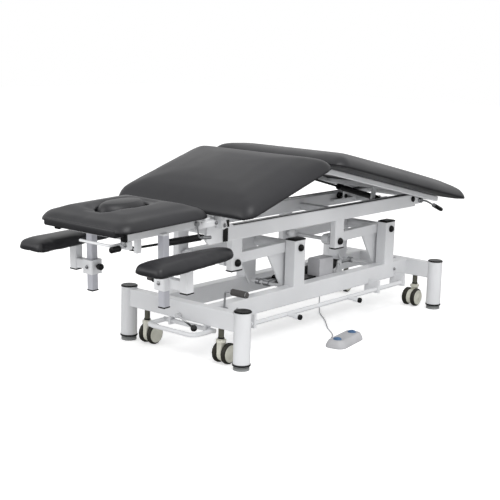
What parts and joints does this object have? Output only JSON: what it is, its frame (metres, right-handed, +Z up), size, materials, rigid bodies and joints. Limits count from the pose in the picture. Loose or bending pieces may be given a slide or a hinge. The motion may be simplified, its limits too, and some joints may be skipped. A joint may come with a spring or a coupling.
{
  "type": "electric treatment table",
  "caption": "Height-adjustable treatment table with tilting head, mid and leg sections, armrests, castors and a foot switch.",
  "frame": {"origin": "middle of the overall footprint, on the floor", "axes": "+X along the table to the foot end, +Y to the side away from the foot bar, +Z up"},
  "size_m": [2.116, 0.7616, 0.7382],
  "materials": {
    "black_plastic": "moulded black plastic",
    "blue_plastic": "moulded blue plastic",
    "bright_steel": "bright ground steel",
    "charcoal_upholstery": "satin coated upholstery fabric",
    "cream_plastic": "moulded cream plastic",
    "dark_tyre": "dark rubber tread",
    "grey_plastic": "moulded grey plastic",
    "grey_rubber": "soft grey rubber",
    "white_powder_coat": "semi-gloss powder coat"
  },
  "bodies": {
    "base": {"base_frame": "white_powder_coat", "head_base_shaft": "black_plastic", "foot_base_shaft": "black_plastic", "actuator_mount": "white_powder_coat", "control_box": "grey_plastic", "foot_switch_housing": "grey_plastic", "foot_switch_cord": "grey_rubber", "levelling_foot_head_near": "grey_plastic", "levelling_foot_head_far": "grey_plastic", "levelling_foot_foot_near": "grey_plastic", "levelling_foot_foot_far": "grey_plastic", "column_cap_head_near": "black_plastic", "column_cap_head_far": "black_plastic", "column_cap_foot_near": "black_plastic", "column_cap_foot_far": "black_plastic"},
    "head_arm": {"head_lift_arm": "white_powder_coat"},
    "foot_arm": {"foot_lift_arm": "white_powder_coat"},
    "tie": {"tie_rod": "bright_steel"},
    "actuator": {"actuator_body": "black_plastic"},
    "ram": {"actuator_rod": "bright_steel"},
    "top": {"upper_frame": "white_powder_coat", "head_frame_shaft": "black_plastic", "foot_frame_shaft": "black_plastic"},
    "mid": {"mid_frame": "white_powder_coat", "mid_pad": "charcoal_upholstery"},
    "leg": {"leg_frame": "white_powder_coat", "leg_pad": "charcoal_upholstery"},
    "near_roller": {"near_roller": "black_plastic"},
    "far_roller": {"far_roller": "black_plastic"},
    "leg_cylinder": {"leg_spring_cylinder": "black_plastic"},
    "leg_ram": {"leg_spring_rod": "black_plastic"},
    "head_cylinder": {"head_spring_cylinder": "black_plastic"},
    "head_ram": {"head_spring_rod": "black_plastic"},
    "head": {"head_frame": "white_powder_coat", "head_pad": "charcoal_upholstery", "roll_holder": "white_powder_coat"},
    "pillow": {"face_pillow": "charcoal_upholstery"},
    "head_lever": {"head_release_lever": "black_plastic"},
    "leg_lever": {"leg_release_lever": "bright_steel"},
    "near_armrest": {"near_armrest_carrier": "white_powder_coat", "near_armrest_pad": "charcoal_upholstery"},
    "far_armrest": {"far_armrest_carrier": "white_powder_coat", "far_armrest_pad": "charcoal_upholstery"},
    "near_knob": {"near_clamp_knob": "black_plastic"},
    "far_knob": {"far_clamp_knob": "black_plastic"},
    "foot_bar": {"side_foot_bar": "white_powder_coat"},
    "loop": {"pedal_loop": "white_powder_coat"},
    "ball_pedal": {"ball_pedal": "black_plastic"},
    "hand_lever": {"hand_lever": "grey_rubber"},
    "button_head": {"switch_button_head": "blue_plastic"},
    "button_foot": {"switch_button_foot": "blue_plastic"},
    "castor_head_near": {"castor_housing_head_near": "cream_plastic"},
    "wheels_head_near": {"castor_wheels_head_near": "dark_tyre"},
    "castor_head_far": {"castor_housing_head_far": "cream_plastic"},
    "wheels_head_far": {"castor_wheels_head_far": "dark_tyre"},
    "castor_foot_near": {"castor_housing_foot_near": "cream_plastic"},
    "wheels_foot_near": {"castor_wheels_foot_near": "dark_tyre"},
    "castor_foot_far": {"castor_housing_foot_far": "cream_plastic"},
    "wheels_foot_far": {"castor_wheels_foot_far": "dark_tyre"}
  },
  "joints": [
    {"name": "lift", "type": "hinge", "parent": "base", "child": "head_arm", "pos_m": [-0.01559, 0.02077, 0.3625], "axis": [0, 1, 0], "range_deg": [-5, 50]},
    {"name": "foot_arm_swing", "type": "hinge", "parent": "base", "child": "foot_arm", "pos_m": [0.63881, 0.02077, 0.3625], "axis": [0, 1, 0], "range_deg": [-5, 50]},
    {"name": "frame_level", "type": "hinge", "parent": "head_arm", "child": "top", "pos_m": [-0.40202, 0.02077, 0.35508], "axis": [0, 1, 0], "range_deg": [-50, 5]},
    {"name": "tie_rod_level", "type": "hinge", "parent": "head_arm", "child": "tie", "pos_m": [-0.03359, 0.06577, 0.1975], "axis": [0, 1, 0], "range_deg": [-50, 5]},
    {"name": "actuator_swivel", "type": "hinge", "parent": "base", "child": "actuator", "pos_m": [0.43771, 0.02077, 0.215], "axis": [0, 1, 0], "range_deg": [-1, 7]},
    {"name": "ram_swivel", "type": "hinge", "parent": "head_arm", "child": "ram", "pos_m": [-0.03359, 0.02077, 0.1975], "axis": [0, 1, 0], "range_deg": [-43.5, 4.5]},
    {"name": "mid_tilt", "type": "hinge", "parent": "top", "child": "mid", "pos_m": [-0.51729, 0.02077, 0.515], "axis": [0, -1, 0], "range_deg": [-16.8, 0]},
    {"name": "leg_fold", "type": "hinge", "parent": "mid", "child": "leg", "pos_m": [-0.03946, 0.02077, 0.69687], "axis": [0, 1, 0], "range_deg": [-29.6, 0.1]},
    {"name": "near_roller_spin", "type": "hinge", "parent": "leg", "child": "near_roller", "pos_m": [0.59787, 0.02077, 0.4868], "axis": [0, 1, 0], "continuous": true},
    {"name": "far_roller_spin", "type": "hinge", "parent": "leg", "child": "far_roller", "pos_m": [0.59787, 0.02077, 0.4868], "axis": [0, 1, 0], "continuous": true},
    {"name": "leg_cylinder_swivel", "type": "hinge", "parent": "top", "child": "leg_cylinder", "pos_m": [0.71271, -0.00923, 0.476], "axis": [0, 1, 0], "range_deg": [-9.5, 1.3]},
    {"name": "leg_ram_swivel", "type": "hinge", "parent": "leg", "child": "leg_ram", "pos_m": [0.14896, -0.00923, 0.6234], "axis": [0, 1, 0], "range_deg": [-0.6, 3.6]},
    {"name": "head_tilt", "type": "hinge", "parent": "top", "child": "head", "pos_m": [-0.55529, 0.02077, 0.533], "axis": [0, 1, 0], "range_deg": [-25, 8]},
    {"name": "head_cylinder_swivel", "type": "hinge", "parent": "top", "child": "head_cylinder", "pos_m": [-0.56229, -0.10323, 0.47], "axis": [0, 1, 0], "range_deg": [-26.3, 8.5]},
    {"name": "head_ram_swivel", "type": "hinge", "parent": "head", "child": "head_ram", "pos_m": [-0.9206, -0.10323, 0.4735], "axis": [0, 1, 0], "range_deg": [-1.3, 0.5]},
    {"name": "pillow_lift", "type": "slide", "parent": "head", "child": "pillow", "axis": [-0.0314, 0, 0.9995], "range_m": [0, 0.09]},
    {"name": "head_release", "type": "hinge", "parent": "head", "child": "head_lever", "pos_m": [-0.66244, -0.16203, 0.53614], "axis": [0, -1, 0], "range_deg": [0, 18], "stiffness_Nm_per_rad": 0.5},
    {"name": "leg_release", "type": "hinge", "parent": "top", "child": "leg_lever", "pos_m": [0.86471, -0.13753, 0.468], "axis": [0, 1, 0], "range_deg": [0, 14], "stiffness_Nm_per_rad": 1},
    {"name": "near_armrest_height", "type": "slide", "parent": "head", "child": "near_armrest", "axis": [-0.0314, 0, 0.9995], "range_m": [-0.045, 0.07]},
    {"name": "near_clamp_turn", "type": "hinge", "parent": "near_armrest", "child": "near_knob", "pos_m": [-0.82184, -0.13343, 0.35514], "axis": [0, 1, 0], "range_deg": [-90, 90]},
    {"name": "far_armrest_height", "type": "slide", "parent": "head", "child": "far_armrest", "axis": [-0.0314, 0, 0.9995], "range_m": [-0.045, 0.07]},
    {"name": "far_clamp_turn", "type": "hinge", "parent": "far_armrest", "child": "far_knob", "pos_m": [-0.82184, 0.17497, 0.35514], "axis": [0, 1, 0], "range_deg": [-90, 90]},
    {"name": "castor_swivel_head_near", "type": "hinge", "parent": "base", "child": "castor_head_near", "pos_m": [-0.52729, -0.16923, 0.138], "axis": [0, 0, 1], "continuous": true},
    {"name": "wheel_spin_head_near", "type": "hinge", "parent": "castor_head_near", "child": "wheels_head_near", "pos_m": [-0.50729, -0.16923, 0.04], "axis": [0, 1, 0], "continuous": true},
    {"name": "castor_swivel_head_far", "type": "hinge", "parent": "base", "child": "castor_head_far", "pos_m": [-0.52729, 0.21077, 0.138], "axis": [0, 0, 1], "continuous": true},
    {"name": "wheel_spin_head_far", "type": "hinge", "parent": "castor_head_far", "child": "wheels_head_far", "pos_m": [-0.50729, 0.21077, 0.04], "axis": [0, 1, 0], "continuous": true},
    {"name": "castor_swivel_foot_near", "type": "hinge", "parent": "base", "child": "castor_foot_near", "pos_m": [0.80271, -0.16923, 0.138], "axis": [0, 0, 1], "continuous": true},
    {"name": "wheel_spin_foot_near", "type": "hinge", "parent": "castor_foot_near", "child": "wheels_foot_near", "pos_m": [0.78271, -0.16923, 0.04], "axis": [0, 1, 0], "continuous": true},
    {"name": "castor_swivel_foot_far", "type": "hinge", "parent": "base", "child": "castor_foot_far", "pos_m": [0.80271, 0.21077, 0.138], "axis": [0, 0, 1], "continuous": true},
    {"name": "wheel_spin_foot_far", "type": "hinge", "parent": "castor_foot_far", "child": "wheels_foot_far", "pos_m": [0.78271, 0.21077, 0.04], "axis": [0, 1, 0], "continuous": true},
    {"name": "foot_bar_turn", "type": "hinge", "parent": "base", "child": "foot_bar", "pos_m": [0.13771, -0.16923, 0.12], "axis": [1, 0, 0], "range_deg": [-12, 12], "stiffness_Nm_per_rad": 20},
    {"name": "pedal_loop_turn", "type": "hinge", "parent": "base", "child": "loop", "pos_m": [-0.52729, 0.02077, 0.118], "axis": [0, 1, 0], "range_deg": [-8, 8]},
    {"name": "ball_pedal_turn", "type": "hinge", "parent": "base", "child": "ball_pedal", "pos_m": [-0.54759, 0.02077, 0.154], "axis": [1, 0, 0], "range_deg": [-10, 10]},
    {"name": "hand_lever_turn", "type": "hinge", "parent": "base", "child": "hand_lever", "pos_m": [-0.48229, -0.14213, 0.19], "axis": [1, 0, 0], "range_deg": [-15, 15]},
    {"name": "button_press_head", "type": "slide", "parent": "base", "child": "button_head", "axis": [0, 0, -1], "range_m": [0, 0.004], "stiffness_N_per_m": 300},
    {"name": "button_press_foot", "type": "slide", "parent": "base", "child": "button_foot", "axis": [0, 0, -1], "range_m": [0, 0.004], "stiffness_N_per_m": 300}
  ],
  "couplings": [
    {"joint": "foot_arm_swing", "follows": "lift", "ratio": 1},
    {"joint": "frame_level", "follows": "lift", "ratio": -1},
    {"joint": "tie_rod_level", "follows": "lift", "ratio": -1},
    {"joint": "actuator_swivel", "follows": "lift", "ratio": 0.1361},
    {"joint": "ram_swivel", "follows": "lift", "ratio": -0.8639},
    {"joint": "leg_fold", "follows": "mid_tilt", "ratio": 1.76},
    {"joint": "leg_cylinder_swivel", "follows": "mid_tilt", "ratio": 0.5571},
    {"joint": "leg_ram_swivel", "follows": "mid_tilt", "ratio": -0.2029},
    {"joint": "head_cylinder_swivel", "follows": "head_tilt", "ratio": 1.0453},
    {"joint": "head_ram_swivel", "follows": "head_tilt", "ratio": 0.0453}
  ]
}
